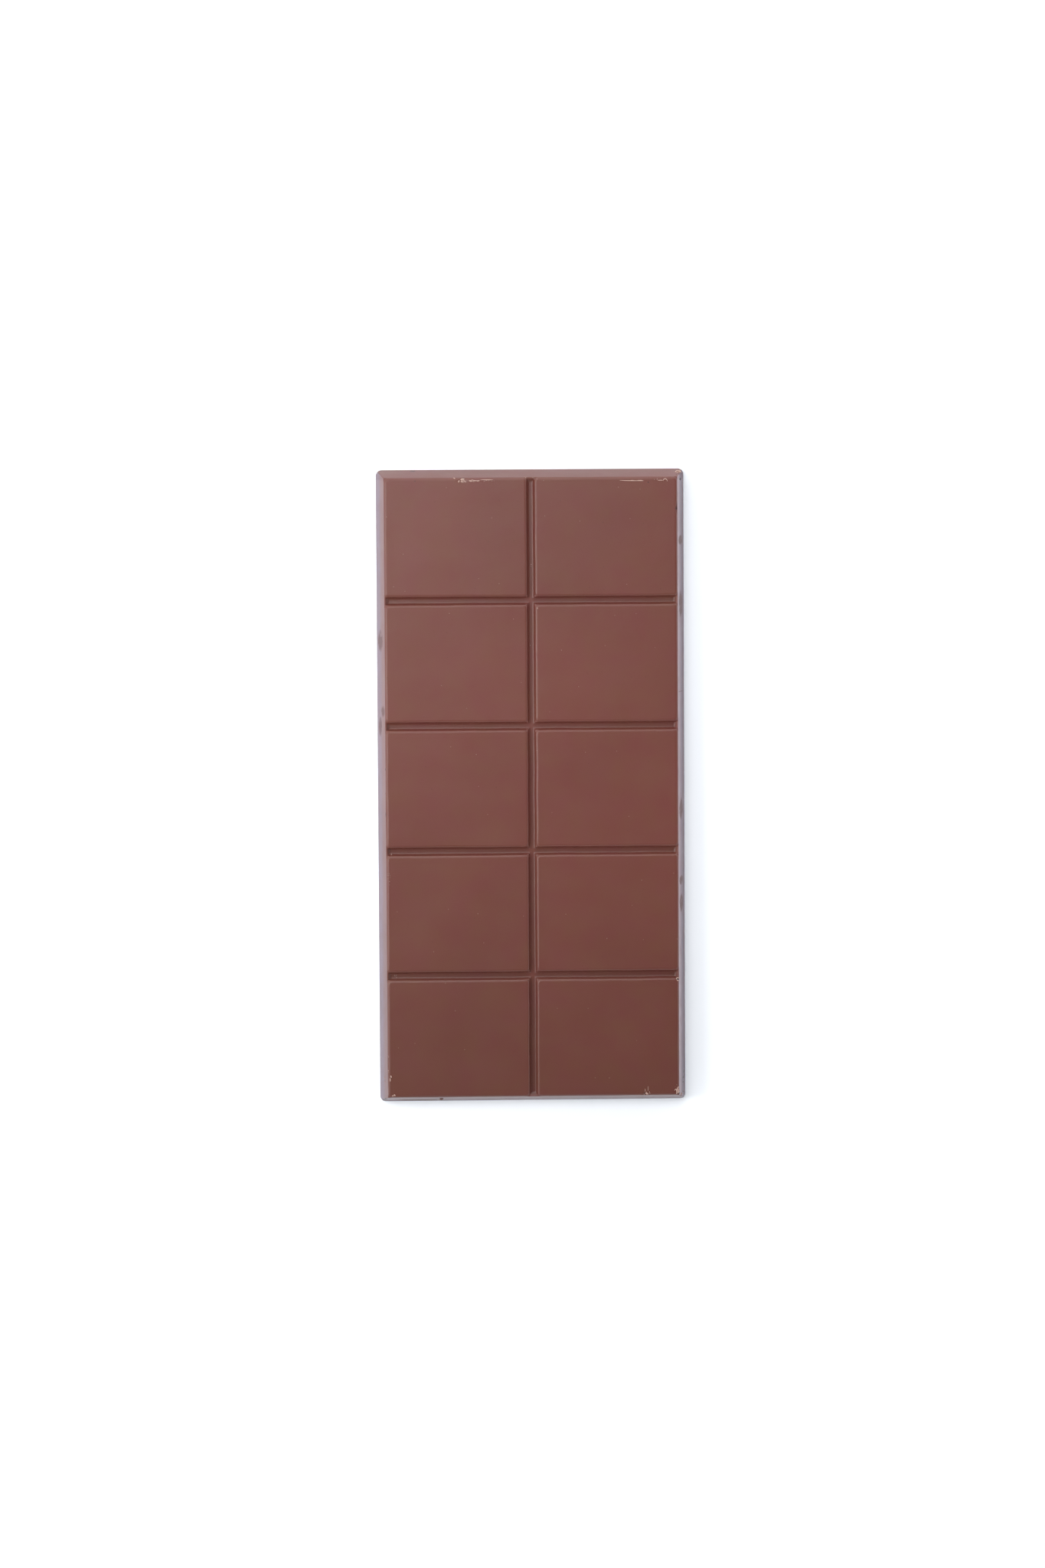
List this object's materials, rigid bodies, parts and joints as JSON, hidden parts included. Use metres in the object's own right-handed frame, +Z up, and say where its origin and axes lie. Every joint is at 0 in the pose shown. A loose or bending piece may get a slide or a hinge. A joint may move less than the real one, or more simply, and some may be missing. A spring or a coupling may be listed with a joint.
{
  "type": "chocolate bar",
  "caption": "Solid moulded chocolate bar: a flat slab with sloping sides and raised rectangular tiles parted by narrow break grooves.",
  "frame": {"origin": "centre of the flat underside, on the surface the bar lies on", "axes": "+Z up out of the tile side, +Y along the bar's length, +X across it"},
  "size_m": [0.075, 0.1546, 0.008],
  "materials": {
    "chocolate": "satin tempered chocolate with a faint bloom, dull smears and small pale scuffs along the edges"
  },
  "bodies": {
    "root": {"chocolate_bar": "chocolate"}
  },
  "joints": []
}
